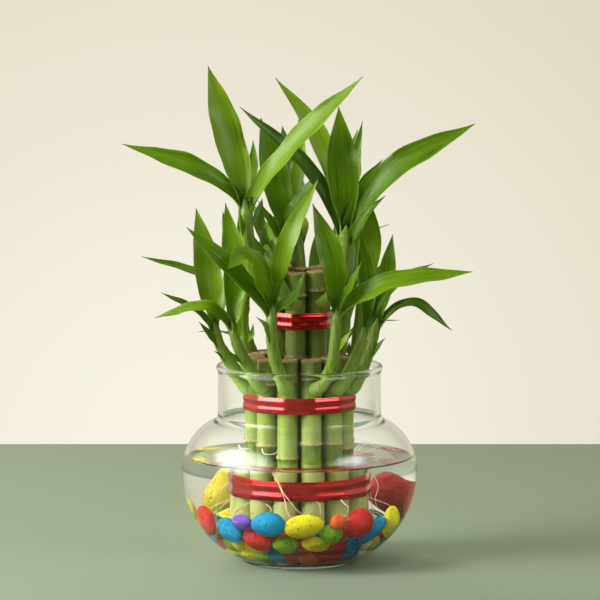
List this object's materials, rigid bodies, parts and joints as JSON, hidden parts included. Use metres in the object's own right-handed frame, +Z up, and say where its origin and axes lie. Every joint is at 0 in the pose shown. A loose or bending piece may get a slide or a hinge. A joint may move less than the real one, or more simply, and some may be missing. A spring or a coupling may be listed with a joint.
{
  "type": "lucky bamboo",
  "caption": "Two-tier lucky bamboo: rooted green canes tied with red foil ribbon, each with a leafy shoot, standing in water and dyed pebbles in a clear pot-bellied glass bowl.",
  "frame": {"origin": "centre of the flat foot of the glass bowl, on the surface that it stands on", "axes": "+Z up along the canes; the side that the picture shows faces -Y, with +X to its right"},
  "size_m": [0.1894, 0.1294, 0.2691],
  "materials": {
    "clear_glass": "polished, clear, with a faint green cast at the rim and foot",
    "still_water": "clear and still",
    "cane_skin": "living green rind, satin, tan at the cut top and the joint rings",
    "leaf": "fresh green leaf, satin, with fine lengthwise veins",
    "red_foil": "crinkled metallic foil, shiny",
    "mixed_pebbles": "dyed stones in mixed colours, slightly pitted",
    "dye_blue": "dyed stone, satin, slightly pitted",
    "dye_red": "dyed stone, satin, slightly pitted",
    "dye_yellow": "dyed stone, satin, slightly pitted",
    "dye_green": "dyed stone, satin, slightly pitted",
    "dye_purple": "dyed stone, satin, slightly pitted",
    "dye_orange": "dyed stone, satin, slightly pitted",
    "dye_teal": "dyed stone, satin, slightly pitted"
  },
  "bodies": {
    "root": {"cane_inner_01": "cane_skin", "cane_inner_02": "cane_skin", "cane_inner_03": "cane_skin", "cane_inner_04": "cane_skin", "cane_inner_05": "cane_skin", "cane_inner_06": "cane_skin", "cane_outer_01": "cane_skin", "cane_outer_02": "cane_skin", "cane_outer_03": "cane_skin", "cane_outer_04": "cane_skin", "cane_outer_05": "cane_skin", "cane_outer_06": "cane_skin", "cane_outer_07": "cane_skin", "cane_outer_08": "cane_skin", "cane_outer_09": "cane_skin", "cane_outer_10": "cane_skin", "cane_outer_11": "cane_skin", "cane_outer_12": "cane_skin", "glass_bowl": "clear_glass", "pebble_bed": "mixed_pebbles", "pebble_blue_front": "dye_blue", "pebble_blue_left": "dye_blue", "pebble_blue_right": "dye_blue", "pebble_green_front": "dye_green", "pebble_green_right": "dye_green", "pebble_orange_right": "dye_orange", "pebble_purple_left": "dye_purple", "pebble_red_back": "dye_red", "pebble_red_front": "dye_red", "pebble_red_high": "dye_red", "pebble_red_left": "dye_red", "pebble_red_right": "dye_red", "pebble_teal_back": "dye_teal", "pebble_yellow_back": "dye_yellow", "pebble_yellow_front": "dye_yellow", "pebble_yellow_high": "dye_yellow", "pebble_yellow_low": "dye_yellow", "pebble_yellow_right": "dye_yellow", "ribbon_lower": "red_foil", "ribbon_middle": "red_foil", "ribbon_upper": "red_foil", "shoot_inner_01": "leaf", "shoot_inner_02": "leaf", "shoot_inner_03": "leaf", "shoot_inner_04": "leaf", "shoot_inner_05": "leaf", "shoot_inner_06": "leaf", "shoot_outer_01": "leaf", "shoot_outer_02": "leaf", "shoot_outer_03": "leaf", "shoot_outer_04": "leaf", "shoot_outer_05": "leaf", "shoot_outer_06": "leaf", "shoot_outer_07": "leaf", "shoot_outer_08": "leaf", "shoot_outer_09": "leaf", "shoot_outer_10": "leaf", "shoot_outer_11": "leaf", "shoot_outer_12": "leaf", "water": "still_water"}
  },
  "joints": []
}
